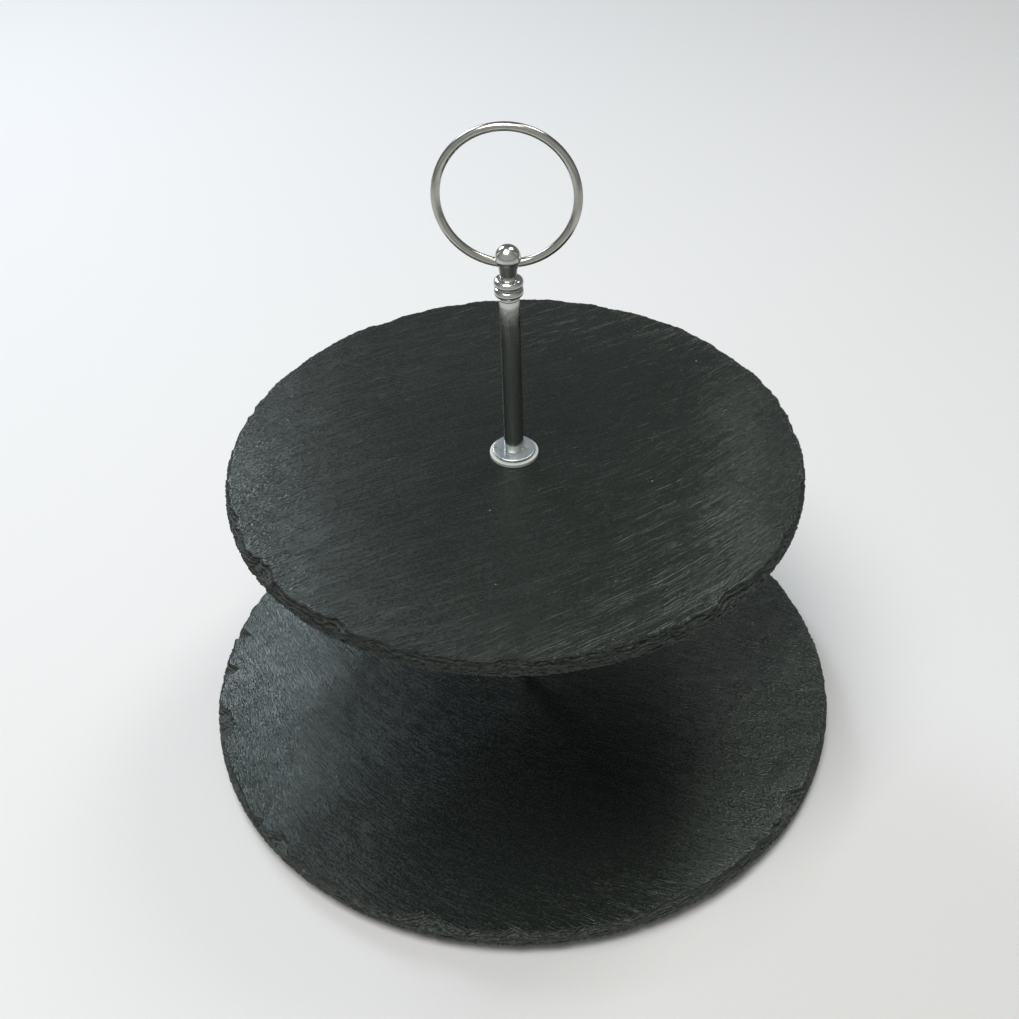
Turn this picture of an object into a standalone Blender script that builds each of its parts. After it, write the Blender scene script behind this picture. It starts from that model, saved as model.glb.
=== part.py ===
"""Two-tier cake stand: two slate discs on a chromed screw-together pillar with a ring handle.

The stand is upright along +Z, the middle of its feet's plane is the origin, and the ring's
pivot runs along X. All sizes are in metres.
"""

import math

import bpy

MM = 0.001
GAP = 0.3 * MM  # clearance between pieces that rest on one another

# Slate tiers
LOWER_SLATE_RADIUS = 150 * MM
UPPER_SLATE_RADIUS = 125 * MM
SLATE_THICKNESS = 7 * MM
SLATE_HOLE_RADIUS = 4 * MM
EDGE_BEVEL = 1.6 * MM  # least width of the knapped band round the top edge
EDGE_CHIP = 2.6 * MM  # how much further the deepest chips reach
EDGE_STEPS = 120

# Rubber feet
FOOT_RADIUS = 7 * MM
FOOT_HEIGHT = 6 * MM
FOOT_CIRCLE_RADIUS = 105 * MM
FOOT_COUNT = 4

# Washers under each slate and over the upper one
NYLON_RADIUS = 10.5 * MM
NYLON_THICKNESS = 1.0 * MM
NYLON_ROUND = 0.2 * MM
STEEL_RADIUS = 9.2 * MM
STEEL_THICKNESS = 1.4 * MM
STEEL_ROUND = 0.5 * MM
WASHER_HOLE_RADIUS = 2.3 * MM
STACK_HEIGHT = NYLON_THICKNESS + STEEL_THICKNESS + 3 * GAP

# Pillar tubes and the tapped bushes pressed into their ends
TUBE_RADIUS = 4.2 * MM
TUBE_BORE_RADIUS = 3.6 * MM
LOWER_TUBE_LENGTH = 128 * MM
UPPER_TUBE_LENGTH = 75 * MM
INSERT_RADIUS = 3.4 * MM
INSERT_BORE_RADIUS = 2.2 * MM
INSERT_LENGTH = 10 * MM

# M4 screw and studs
THREAD_RADIUS = 2.0 * MM
SCREW_LENGTH = 20 * MM
SCREW_HEAD_RADIUS = 4.75 * MM
SCREW_HEAD_HEIGHT = 2.0 * MM
RECESS_SPAN = 4.4 * MM
RECESS_WIDTH = 0.9 * MM
RECESS_DEPTH = 1.3 * MM
JOINING_STUD_LENGTH = 30 * MM
FINIAL_STUD_LENGTH = 15.4 * MM
FINIAL_STUD_GRIP = 7.7 * MM  # length of the finial's stud inside the finial

# Turned finial, heights above its foot
BEAD_RADIUS = 1.95 * MM  # radius of each bead's own round section
LOWER_BEAD_Z = 3.1 * MM
UPPER_BEAD_Z = 7.1 * MM
BEAD_REACH = 4.05 * MM  # distance of the beads' section centres from the axis
NECK_FOOT_RADIUS = 3.6 * MM
NECK_TOP_RADIUS = 4.2 * MM
NECK_FOOT_Z = 9.3 * MM
BALL_RADIUS = 5.15 * MM
BALL_Z = 18.4 * MM
BALL_LIP_ANGLE = -25  # degrees below the ball's middle where it steps in to the neck
FINIAL_BORE_DEPTH = 8 * MM

# Ring handle
RING_RADIUS = 27.3 * MM  # to the middle of the wire
WIRE_RADIUS = 1.75 * MM
PIVOT_Z = 15.9 * MM  # above the finial's foot
PIVOT_HOLE_RADIUS = 2.2 * MM
RING_LEAN = math.radians(6.2)  # tipped back past upright
RING_JOINT_GAP = 0.4 * MM
RING_POINTS = 73

# Heights of the main levels above the surface that the stand rests on
LOWER_SLATE_Z = FOOT_HEIGHT
LOWER_TOP_Z = LOWER_SLATE_Z + SLATE_THICKNESS
LOWER_TUBE_Z = LOWER_TOP_Z + GAP
LOWER_TUBE_TOP_Z = LOWER_TUBE_Z + LOWER_TUBE_LENGTH
UPPER_SLATE_Z = LOWER_TUBE_TOP_Z + STACK_HEIGHT
UPPER_TOP_Z = UPPER_SLATE_Z + SLATE_THICKNESS
UPPER_TUBE_Z = UPPER_TOP_Z + STACK_HEIGHT
UPPER_TUBE_TOP_Z = UPPER_TUBE_Z + UPPER_TUBE_LENGTH
FINIAL_Z = UPPER_TUBE_TOP_Z + GAP

STEPS = 32


def clear_scene():
    for obj in list(bpy.data.objects):
        bpy.data.objects.remove(obj, do_unlink=True)


def make_collection(name):
    collection = bpy.data.collections.new(name)
    bpy.context.scene.collection.children.link(collection)
    return collection


def make_material(name, colour, roughness, metallic=0.0):
    material = bpy.data.materials.new(name)
    material.use_nodes = True
    shader = material.node_tree.nodes["Principled BSDF"]
    shader.inputs["Base Color"].default_value = (*colour, 1.0)
    shader.inputs["Roughness"].default_value = roughness
    shader.inputs["Metallic"].default_value = metallic
    return material


def arc(centre_r, centre_z, radius, start, end, count):
    """Points of an arc in the (distance from axis, height) plane, angles in degrees from +r."""
    points = []
    for i in range(count):
        angle = math.radians(start + (end - start) * i / (count - 1))
        points.append((centre_r + radius * math.cos(angle), centre_z + radius * math.sin(angle)))
    return points


def turned(name, outline, z, material, steps=STEPS, closed=False):
    """Turns an outline of (distance from axis, height), given down its outer side, about Z.

    A closed outline goes round a hollow piece. An open one starts and ends on the axis.
    """
    mesh = bpy.data.meshes.new(name)
    edges = [(i, i + 1) for i in range(len(outline) - 1)]
    if closed:
        edges.append((len(outline) - 1, 0))
    mesh.from_pydata([(r, 0.0, h) for r, h in outline], edges, [])
    obj = bpy.data.objects.new(name, mesh)
    obj.location.z = z
    mesh.materials.append(material)
    parts.objects.link(obj)
    screw = obj.modifiers.new("turn", "SCREW")
    screw.axis = "Z"
    screw.angle = math.tau
    screw.steps = steps
    screw.render_steps = steps
    screw.use_merge_vertices = True
    screw.merge_threshold = 0.00001
    screw.use_smooth_shade = True
    return obj


def freeze(obj):
    """Replaces the object's modifiers by the mesh that they make, sharp where it folds hard."""
    bpy.context.view_layer.update()
    evaluated = obj.evaluated_get(bpy.context.evaluated_depsgraph_get())
    mesh = bpy.data.meshes.new_from_object(evaluated)
    obj.modifiers.clear()
    obj.data = mesh
    mesh.set_sharp_from_angle(angle=math.radians(35))
    return obj


def cut(obj, cutter):
    """Keeps the cutter as a wire guide and takes its shape out of the object."""
    cutter.hide_render = True
    cutter.display_type = "WIRE"
    for owner in list(cutter.users_collection):
        owner.objects.unlink(cutter)
    cutters.objects.link(cutter)
    boolean = obj.modifiers.new("cut_" + cutter.name, "BOOLEAN")
    boolean.operation = "DIFFERENCE"
    boolean.object = cutter


def washer(name, radius, thickness, round_over, z, material, faces_up):
    """A flat washer, rounded over at the rim of its outer face."""
    top_edge = arc(radius - round_over, thickness - round_over, round_over, 90, 0, 3)
    foot = [(radius, 0.0), (WASHER_HOLE_RADIUS, 0.0), (WASHER_HOLE_RADIUS, thickness)]
    outline = top_edge + foot
    if not faces_up:
        outline = [(r, thickness - h) for r, h in reversed(outline)]
    freeze(turned(name, outline, z, material, closed=True))


def scallop(angle, phase):
    """How deep the edge is chipped at an angle, from 0 to 1: hand-sized bites of mixed widths."""
    wide = abs(math.sin(4.5 * angle + phase))
    middle = abs(math.sin(11 * angle + 2.3 * phase))
    narrow = abs(math.sin(23 * angle + 0.7 * phase))
    return (0.45 * wide + 0.35 * middle + 0.2 * narrow) ** 1.5


def slate(name, radius, z, phase):
    """A slate disc with a drilled hole, its top edge knapped back and its lower edge round."""
    shoulder = radius - EDGE_BEVEL
    outline = [
        (shoulder, SLATE_THICKNESS),
        (radius - 0.5 * EDGE_BEVEL, 0.62 * SLATE_THICKNESS),
        (radius, 0.2 * SLATE_THICKNESS),
        (radius - 0.4 * MM, 0.0),
        (SLATE_HOLE_RADIUS, 0.0),
        (SLATE_HOLE_RADIUS, SLATE_THICKNESS),
    ]
    disc = freeze(turned(name, outline, z, slate_grey, EDGE_STEPS, closed=True))
    for vert in disc.data.vertices:
        level = vert.co.z / SLATE_THICKNESS
        distance = math.hypot(vert.co.x, vert.co.y)
        if level < 0.5 or distance < shoulder - EDGE_CHIP:
            continue
        angle = math.atan2(vert.co.y, vert.co.x)
        inset = EDGE_CHIP * (level - 0.4) * scallop(angle, phase)
        vert.co.x *= 1 - inset / distance
        vert.co.y *= 1 - inset / distance


def feet():
    """Tapered rubber bumpers on the slate's underside, each rounded where it meets the table."""
    height = FOOT_HEIGHT - GAP
    outline = [(0.0, height), (FOOT_RADIUS, height)]
    outline += arc(FOOT_RADIUS - 2.2 * MM, 1.4 * MM, 1.4 * MM, 0, -90, 4)
    outline += [(0.0, 0.0)]
    for i in range(FOOT_COUNT):
        angle = math.tau * (i + 0.5) / FOOT_COUNT
        foot = turned("foot_pad_%d" % (i + 1), outline, 0.0, rubber_black, 24)
        foot.location.x = FOOT_CIRCLE_RADIUS * math.cos(angle)
        foot.location.y = FOOT_CIRCLE_RADIUS * math.sin(angle)
        freeze(foot)


def base_screw():
    """Truss-head M4 screw with a cross recess, driven up from below."""
    underside_z = LOWER_SLATE_Z - STACK_HEIGHT
    head = SCREW_HEAD_HEIGHT
    chamfer = 0.4 * MM
    outline = [
        (0.0, head + SCREW_LENGTH),
        (THREAD_RADIUS - chamfer, head + SCREW_LENGTH),
        (THREAD_RADIUS, head + SCREW_LENGTH - chamfer),
        (THREAD_RADIUS, head),
        (SCREW_HEAD_RADIUS, head),
        (SCREW_HEAD_RADIUS, 0.75 * head),
        (0.84 * SCREW_HEAD_RADIUS, 0.3 * head),
        (0.6 * SCREW_HEAD_RADIUS, 0.08 * head),
        (0.35 * SCREW_HEAD_RADIUS, 0.0),
        (0.0, 0.0),
    ]
    screw = turned("base_screw", outline, underside_z - head, zinc_steel, 24)
    for name, spans in (("recess_a", (1, 0)), ("recess_b", (0, 1))):
        bpy.ops.mesh.primitive_cube_add(size=1, location=(0, 0, screw.location.z))
        cutter = bpy.context.object
        cutter.name = name
        long_x, long_y = spans
        cutter.scale.x = RECESS_SPAN if long_x else RECESS_WIDTH
        cutter.scale.y = RECESS_SPAN if long_y else RECESS_WIDTH
        cutter.scale.z = 2 * RECESS_DEPTH
        cut(screw, cutter)
    freeze(screw)


def stud(name, length, z):
    """A headless M4 stud, chamfered at both ends."""
    chamfer = 0.4 * MM
    outline = [
        (0.0, length),
        (THREAD_RADIUS - chamfer, length),
        (THREAD_RADIUS, length - chamfer),
        (THREAD_RADIUS, chamfer),
        (THREAD_RADIUS - chamfer, 0.0),
        (0.0, 0.0),
    ]
    freeze(turned(name, outline, z, zinc_steel, 24))


def tube(name, length, z):
    """A thin chromed tube, its ends broken by a small outer chamfer."""
    chamfer = 0.25 * MM
    outline = [
        (TUBE_RADIUS - chamfer, length),
        (TUBE_RADIUS, length - chamfer),
        (TUBE_RADIUS, chamfer),
        (TUBE_RADIUS - chamfer, 0.0),
        (TUBE_BORE_RADIUS, 0.0),
        (TUBE_BORE_RADIUS, length),
    ]
    freeze(turned(name, outline, z, chrome, STEPS, closed=True))


def insert(name, z):
    """A tapped bush that closes one end of a tube."""
    outline = [
        (INSERT_RADIUS, INSERT_LENGTH),
        (INSERT_RADIUS, 0.0),
        (INSERT_BORE_RADIUS, 0.0),
        (INSERT_BORE_RADIUS, INSERT_LENGTH),
    ]
    freeze(turned(name, outline, z, zinc_steel, 24, closed=True))


def finial():
    """Ball on a tapered neck over two beads, bored for the ring and tapped from below."""
    outline = arc(0.0, BALL_Z, BALL_RADIUS, 90, BALL_LIP_ANGLE, 10)
    outline[0] = (0.0, BALL_Z + BALL_RADIUS)
    lip_z = outline[-1][1]
    outline.append((NECK_TOP_RADIUS, lip_z - 0.15 * MM))
    outline.append((NECK_FOOT_RADIUS, NECK_FOOT_Z))
    outline += arc(BEAD_REACH, UPPER_BEAD_Z, BEAD_RADIUS, 88, -70, 8)
    outline += arc(BEAD_REACH, LOWER_BEAD_Z, BEAD_RADIUS, 70, -80, 8)
    outline += [
        (TUBE_RADIUS, 0.35 * MM),
        (TUBE_RADIUS - 0.2 * MM, 0.0),
        (INSERT_BORE_RADIUS, 0.0),
        (INSERT_BORE_RADIUS, FINIAL_BORE_DEPTH),
        (0.0, FINIAL_BORE_DEPTH),
    ]
    ball = turned("finial", outline, FINIAL_Z, chrome, STEPS)
    bpy.ops.mesh.primitive_cylinder_add(
        vertices=32,
        radius=PIVOT_HOLE_RADIUS,
        depth=4 * BALL_RADIUS,
        location=(0, 0, FINIAL_Z + PIVOT_Z),
        rotation=(0, math.pi / 2, 0),
    )
    cutter = bpy.context.object
    cutter.name = "pivot_hole"
    cut(ball, cutter)
    freeze(ball)


def ring_handle():
    """A round wire ring sprung through the finial's hole, its butt ends hidden inside it.

    The hole is straight and the wire curves, so the pivot runs halfway up the wire's bow
    across the ball.
    """
    half_width = math.sqrt(BALL_RADIUS**2 - (BALL_Z - PIVOT_Z) ** 2)
    bow = RING_RADIUS - math.sqrt(RING_RADIUS**2 - half_width**2)
    centre_z = RING_RADIUS - bow / 2
    curve = bpy.data.curves.new("ring_handle", "CURVE")
    curve.dimensions = "3D"
    curve.bevel_depth = WIRE_RADIUS
    curve.bevel_resolution = 4
    curve.use_fill_caps = True
    curve.materials.append(chrome)
    spline = curve.splines.new("POLY")
    spline.points.add(RING_POINTS - 1)
    first = 0.5 * RING_JOINT_GAP / RING_RADIUS
    for i, point in enumerate(spline.points):
        angle = first + (math.tau - 2 * first) * i / (RING_POINTS - 1)
        x = RING_RADIUS * math.sin(angle)
        z = centre_z - RING_RADIUS * math.cos(angle)
        point.co = (x, 0.0, z, 1.0)
    ring = bpy.data.objects.new("ring_handle", curve)
    ring.location.z = FINIAL_Z + PIVOT_Z
    ring.rotation_euler.x = -RING_LEAN
    parts.objects.link(ring)


def washer_pair(level, nylon_z, steel_z, faces_up):
    """A nylon washer against the slate and a chromed steel one outside it."""
    nylon_name = level + "_nylon_washer"
    steel_name = level + "_steel_washer"
    nylon_size = (NYLON_RADIUS, NYLON_THICKNESS, NYLON_ROUND)
    steel_size = (STEEL_RADIUS, STEEL_THICKNESS, STEEL_ROUND)
    washer(nylon_name, *nylon_size, nylon_z, nylon_white, faces_up)
    washer(steel_name, *steel_size, steel_z, chrome, faces_up)


def washers():
    """One pair under each slate and one over the upper slate."""
    nylon_z = UPPER_TOP_Z + GAP
    washer_pair("upper", nylon_z, nylon_z + NYLON_THICKNESS + GAP, True)
    for level, face_z in (("base", LOWER_SLATE_Z), ("seat", UPPER_SLATE_Z)):
        nylon_z = face_z - GAP - NYLON_THICKNESS
        washer_pair(level, nylon_z, nylon_z - GAP - STEEL_THICKNESS, False)


def pillar():
    """Two tubes, a tapped bush in each end, and the stud that joins them through the slate."""
    tube("lower_tube", LOWER_TUBE_LENGTH, LOWER_TUBE_Z)
    insert("lower_bottom_insert", LOWER_TUBE_Z)
    insert("lower_top_insert", LOWER_TUBE_TOP_Z - INSERT_LENGTH)
    tube("upper_tube", UPPER_TUBE_LENGTH, UPPER_TUBE_Z)
    insert("upper_bottom_insert", UPPER_TUBE_Z)
    insert("upper_top_insert", UPPER_TUBE_TOP_Z - INSERT_LENGTH)
    middle_z = (LOWER_TUBE_TOP_Z + UPPER_TUBE_Z) / 2
    stud("joining_stud", JOINING_STUD_LENGTH, middle_z - JOINING_STUD_LENGTH / 2)
    stud("finial_stud", FINIAL_STUD_LENGTH, FINIAL_Z + FINIAL_STUD_GRIP - FINIAL_STUD_LENGTH)


clear_scene()
parts = make_collection("tiered_cake_stand")
cutters = make_collection("cutters")

slate_grey = make_material("slate", (0.03, 0.034, 0.035), 0.55)
chrome = make_material("chrome", (0.72, 0.73, 0.73), 0.12, 1.0)
zinc_steel = make_material("zinc_steel", (0.55, 0.56, 0.57), 0.35, 1.0)
nylon_white = make_material("nylon", (0.78, 0.79, 0.76), 0.45)
rubber_black = make_material("rubber", (0.02, 0.02, 0.02), 0.8)

feet()
slate("lower_slate", LOWER_SLATE_RADIUS, LOWER_SLATE_Z, 0.9)
slate("upper_slate", UPPER_SLATE_RADIUS, UPPER_SLATE_Z, 2.1)
washers()
base_screw()
pillar()
finial()
ring_handle()
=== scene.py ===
"""Tiered cake stand: riven slates, bright turned metal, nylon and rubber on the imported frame."""

import math
from dataclasses import dataclass

import bmesh
import bpy
import numpy as np
from mathutils import Euler, Matrix, Vector


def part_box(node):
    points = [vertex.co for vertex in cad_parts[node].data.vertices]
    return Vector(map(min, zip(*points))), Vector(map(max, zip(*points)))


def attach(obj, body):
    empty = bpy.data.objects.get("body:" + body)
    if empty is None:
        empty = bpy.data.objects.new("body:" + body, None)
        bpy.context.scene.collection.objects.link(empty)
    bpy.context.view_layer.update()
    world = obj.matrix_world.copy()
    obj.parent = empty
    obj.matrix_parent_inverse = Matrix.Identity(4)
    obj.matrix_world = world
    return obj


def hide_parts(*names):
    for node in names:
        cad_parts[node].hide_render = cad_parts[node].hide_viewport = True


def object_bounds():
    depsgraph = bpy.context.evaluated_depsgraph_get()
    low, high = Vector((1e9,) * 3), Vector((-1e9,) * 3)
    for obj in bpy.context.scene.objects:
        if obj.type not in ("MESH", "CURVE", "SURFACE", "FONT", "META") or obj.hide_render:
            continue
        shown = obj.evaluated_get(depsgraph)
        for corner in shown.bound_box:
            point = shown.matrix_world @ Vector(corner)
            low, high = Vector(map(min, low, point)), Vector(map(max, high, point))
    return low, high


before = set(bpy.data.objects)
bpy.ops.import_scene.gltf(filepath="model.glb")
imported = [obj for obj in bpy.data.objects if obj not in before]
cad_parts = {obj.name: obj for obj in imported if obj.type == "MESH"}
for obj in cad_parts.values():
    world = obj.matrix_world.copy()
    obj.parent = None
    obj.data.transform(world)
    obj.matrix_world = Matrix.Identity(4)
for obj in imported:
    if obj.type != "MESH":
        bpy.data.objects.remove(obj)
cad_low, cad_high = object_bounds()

MM = 0.001
TURN = math.tau

# Viewing angle and framing
CAMERA_AZIMUTH = math.radians(6.0)
CAMERA_ELEVATION = math.radians(40.6)
CAMERA_ROLL = math.radians(-1.9)
CAMERA_DISTANCE = 632.9 * MM
CAMERA_AIM_BELOW_TIER = 33.1 * MM
CAMERA_LENS = 49.79
CAMERA_SHIFT_X = -0.0065
CAMERA_SHIFT_Y = 0.0013

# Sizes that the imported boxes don't show
CONTACT = 0.27 * MM
SLATE_HOLE_RADIUS = 4 * MM
TUBE_BORE_RADIUS = 3.6 * MM
INSERT_BORE_RADIUS = 2.2 * MM
WASHER_HOLE_RADIUS = 2.3 * MM
THREAD_PITCH = 0.7 * MM
THREAD_DEPTH = 0.36 * MM
RING_RADIUS = 27.3 * MM
WIRE_RADIUS = 1.75 * MM
RING_LEAN = math.radians(6.2)
RING_JOINT_GAP = 0.4 * MM
PIVOT_Z = 15.9 * MM
PIVOT_HOLE_RADIUS = 2.2 * MM
BALL_RADIUS = 5.15 * MM
BALL_Z = 18.4 * MM
BALL_LIP_ANGLE = -25
NECK_TOP_RADIUS = 4.2 * MM
NECK_FOOT_RADIUS = 3.3 * MM
NECK_FOOT_Z = 9.6 * MM
BEAD_RADIUS = 1.95 * MM
BEAD_REACH = 4.05 * MM
UPPER_BEAD_Z = 7.1 * MM
LOWER_BEAD_Z = 3.1 * MM
COLLAR_RADIUS = 4.16 * MM
FINIAL_BORE_DEPTH = 8 * MM
CUTTER_REACH = 8 * MM
SCREW_HEAD_HEIGHT = 2.0 * MM
SCREW_DOME_HEIGHT = 1.7 * MM
SCREW_CORE_RADIUS = 1.64 * MM
SCREW_THREAD_RADIUS = 2.0 * MM

# How pieces are meshed
TURNED_STEPS = 128
THREAD_STEPS = 36
TUBE_ROWS = 24
RING_STEPS = 288
WIRE_SIDES = 32
RIM_STEPS = 1440
FIELD_STEPS = 480
CORE_STEPS = 240
LAMINAE = 9
FIELD_RINGS = 6
RIM_WIDTH = 9.6 * MM
RING_SPACING = 1.9 * MM
CORE_RADIUS = 62 * MM
UNDER_RINGS = 22
BEVEL_WIDTH = 1.15 * MM
BEVEL_DEPTH = 2.3 * MM
RIM_SAMPLE = 0.1 * MM
LEDGE_STEP = 0.004 * MM
RIM_FLOOR = 0.2 * MM
WASHER_LAND = 17 * MM
FLOOR_HALF = 15.0


@dataclass
class Stone:
    """How one slate is riven, shaded and chipped.

    The grain is the slope, bow and twist of its lines. The ripples are faint round the calm spot,
    whose place is in metres from the plate's middle, and a small streak draws them out along the
    grain. The glints are the extra sparkle towards +X, and the fresh colours are those of broken
    stone. Each bite is a larger chip: its angle in degrees, then its half width, reach inwards
    and depth in millimetres.
    """

    level: str
    seed: int
    grain: tuple
    calm_spot: tuple
    fineness: float
    streak: float
    bump_depth: float
    glints: float
    fresh_dark: tuple
    fresh_pale: tuple
    ior: float
    ripple_height: float
    bites: list

    @property
    def node(self):
        return self.level + "_slate"

    @property
    def body(self):
        return self.level + "_tier"


def heights(node):
    """The lowest and highest z of a CAD node."""
    low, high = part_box(node)
    return low.z, high.z


def half_width(node):
    """Half of a CAD node's extent along X, which is a round part's radius."""
    low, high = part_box(node)
    return (high.x - low.x) / 2


# ---------------------------------------------------------------- finishes


class Finish:
    """A node material that is built up one node at a time, in metres of object space."""

    def __init__(self, name):
        self.material = bpy.data.materials.new(name)
        self.material.use_nodes = True
        self.tree = self.material.node_tree
        self.shader = self.tree.nodes["Principled BSDF"]
        self.place = self.node("ShaderNodeTexCoord").outputs["Object"]

    def node(self, kind, **settings):
        made = self.tree.nodes.new(kind)
        for key, value in settings.items():
            setattr(made, key, value)
        return made

    def feed(self, socket, value):
        if isinstance(value, bpy.types.NodeSocket):
            self.tree.links.new(value, socket)
        else:
            socket.default_value = value

    def math(self, operation, first, second=0.0, third=0.0):
        made = self.node("ShaderNodeMath", operation=operation)
        for socket, value in zip(made.inputs, (first, second, third)):
            self.feed(socket, value)
        return made.outputs[0]

    def noise(self, place, scale, detail=2.0, roughness=0.5):
        made = self.node("ShaderNodeTexNoise")
        self.feed(made.inputs["Vector"], place)
        made.inputs["Scale"].default_value = scale
        made.inputs["Detail"].default_value = detail
        made.inputs["Roughness"].default_value = roughness
        return made.outputs["Fac"]

    def stretch(self, place, factors):
        made = self.node("ShaderNodeVectorMath", operation="MULTIPLY")
        self.feed(made.inputs[0], place)
        made.inputs[1].default_value = factors
        return made.outputs[0]

    def remap(self, value, low, high, to_low=0.0, to_high=1.0):
        made = self.node("ShaderNodeMapRange", interpolation_type="SMOOTHSTEP")
        self.feed(made.inputs["Value"], value)
        made.inputs["From Min"].default_value = low
        made.inputs["From Max"].default_value = high
        made.inputs["To Min"].default_value = to_low
        made.inputs["To Max"].default_value = to_high
        return made.outputs["Result"]

    def blend(self, factor, first, second):
        made = self.node("ShaderNodeMix", data_type="RGBA")
        self.feed(made.inputs[0], factor)
        self.feed(made.inputs[6], first if hasattr(first, "links") else (*first, 1.0))
        self.feed(made.inputs[7], second if hasattr(second, "links") else (*second, 1.0))
        return made.outputs[2]

    def bump(self, height, distance, below=None):
        made = self.node("ShaderNodeBump")
        made.inputs["Distance"].default_value = distance
        self.feed(made.inputs["Height"], height)
        if below is not None:
            self.feed(made.inputs["Normal"], below)
        return made.outputs["Normal"]

    def set(self, **values):
        for key, value in values.items():
            self.feed(self.shader.inputs[key.replace("_", " ")], value)


def grain_space(f, wander, grain):
    """Object space with its second axis across the curved grain, and the plain x coordinate."""
    slope, bow, twist = grain
    split = f.node("ShaderNodeSeparateXYZ")
    f.feed(split.inputs[0], f.place)
    x, y, z = split.outputs
    inner = f.math("MULTIPLY_ADD", x, twist / 3, bow / 2)
    middle = f.math("MULTIPLY_ADD", inner, x, slope)
    across = f.math("SUBTRACT", y, f.math("MULTIPLY", middle, x))
    across = f.math("ADD", across, f.math("MULTIPLY", f.math("SUBTRACT", wander, 0.5), 6 * MM))
    joined = f.node("ShaderNodeCombineXYZ")
    for socket, value in zip(joined.inputs, (x, across, z)):
        f.feed(socket, value)
    return joined.outputs[0], x


def calm_mask(f, wander, spot):
    """Rises from the calm spot outwards, with a wandering edge."""
    away = f.node("ShaderNodeVectorMath", operation="DISTANCE")
    f.feed(away.inputs[0], f.place)
    away.inputs[1].default_value = spot
    reach = f.math("MULTIPLY_ADD", wander, 0.04, away.outputs["Value"])
    return f.remap(reach, 0.09, 0.165, 0.46, 1.0)


def comb_lines(f, along, scale):
    """Fine parallel lines along the grain."""
    comb = f.node("ShaderNodeTexWave", bands_direction="Y")
    f.feed(comb.inputs["Vector"], f.stretch(along, (0.06, 1.0, 0.3)))
    comb.inputs["Scale"].default_value = scale
    comb.inputs["Distortion"].default_value = 7.0
    comb.inputs["Detail"].default_value = 2.0
    comb.inputs["Detail Scale"].default_value = 0.5
    return comb.outputs["Fac"]


def pale_flecks(f):
    """A mask of rare small round flecks."""
    cells = f.node("ShaderNodeTexVoronoi")
    f.feed(cells.inputs["Vector"], f.place)
    cells.inputs["Scale"].default_value = 150
    fleck = f.remap(cells.outputs["Distance"], 0.045, 0.03)
    lucky = f.node("ShaderNodeSeparateColor")
    f.feed(lucky.inputs[0], cells.outputs["Color"])
    return f.math("MULTIPLY", fleck, f.remap(lucky.outputs[0], 0.86, 0.88))


def slate_finish(stone):
    """Riven slate: ripples along the grain, and rough fresh stone where the edge is chipped."""
    f = Finish("slate_" + stone.level)
    wander = f.noise(f.place, 45, 2.0)
    along, x = grain_space(f, wander, stone.grain)
    swell = f.noise(f.stretch(along, (0.1, 1.0, 0.3)), 330 * stone.fineness, 2.0, 0.5)
    ripple = f.noise(f.stretch(along, (stone.streak, 1.0, 0.3)), 850 * stone.fineness, 2.0, 0.55)
    spark = f.noise(f.stretch(along, (0.6, 1.0, 0.3)), 1250, 1.0, 0.5)
    cross = f.noise(f.stretch(along, (1.0, 0.4, 0.3)), 900, 2.0, 0.5)
    patch = f.noise(f.place, 24, 3.0, 0.55)
    grit = f.noise(f.place, 3600, 2.0, 0.6)
    layers = f.noise(f.stretch(f.place, (0.22, 0.22, 1.0)), 1500, 3.0, 0.6)
    lumps = f.noise(f.place, 620, 3.0, 0.6)
    chip = f.node("ShaderNodeAttribute", attribute_name="chip").outputs["Fac"]

    # Where the grain is faint, and where it glints
    calm = calm_mask(f, wander, (*stone.calm_spot, heights(stone.node)[1]))
    comb = comb_lines(f, along, 235 * stone.fineness)
    comb = f.math("MULTIPLY", comb, f.remap(swell, 0.35, 0.6, 0.03, 0.15))
    outer = f.remap(f.math("ABSOLUTE", x), 0.06, 0.13, 0.12, 0.9)
    drift = f.math("MULTIPLY_ADD", patch, 0.1, x)
    outer = f.math("ADD", outer, f.remap(drift, 0.13, 0.18, 0.0, stone.glints))

    # Colour of the cleft face and of the broken edge
    dark = f.blend(patch, (0.0050, 0.0066, 0.0056), (0.0085, 0.0105, 0.0090))
    # Lighter along the ripple crests: partly the grain's own tone, partly a painted highlight on the
    # crests
    dark = f.blend(f.remap(ripple, 0.45, 0.75, 0.0, 0.5), dark, (0.013, 0.0165, 0.015))
    dark = f.blend(pale_flecks(f), dark, (0.4, 0.41, 0.38))
    fresh = f.blend(f.remap(lumps, 0.4, 0.62), stone.fresh_dark, stone.fresh_pale)
    # Paler bands along the laminae of the broken edge: partly their own tone, partly a painted
    # highlight on the raised bands
    fresh = f.blend(f.remap(layers, 0.62, 0.74, 0.0, 0.7), fresh, (0.085, 0.092, 0.086))
    colour = f.blend(chip, dark, fresh)

    # Gloss and relief
    rough_top = f.remap(f.math("ADD", ripple, spark), 0.75, 1.25, 0.38, 0.21)
    rough_top = f.math("MULTIPLY", rough_top, f.math("MULTIPLY_ADD", calm, 0.2, 0.8))
    rough = f.math("MULTIPLY_ADD", chip, 0.3, rough_top)
    relief = f.math("MULTIPLY_ADD", cross, 0.12, ripple)
    relief = f.math("MULTIPLY_ADD", swell, 0.25, relief)
    relief = f.math("ADD", relief, comb)
    relief = f.math("MULTIPLY", relief, calm)
    relief = f.math("MULTIPLY_ADD", spark, outer, relief)
    top_bump = f.bump(relief, stone.bump_depth)
    rock = f.math("MULTIPLY", f.math("ADD", layers, lumps), chip)
    rim_bump = f.bump(rock, 0.5 * MM, top_bump)
    skin = f.bump(grit, 0.03 * MM, rim_bump)
    f.set(Base_Color=colour, Roughness=rough, Normal=skin, IOR=stone.ior)
    f.set(Specular_Tint=(0.90, 1.0, 0.92, 1.0))
    return f.material


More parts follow.
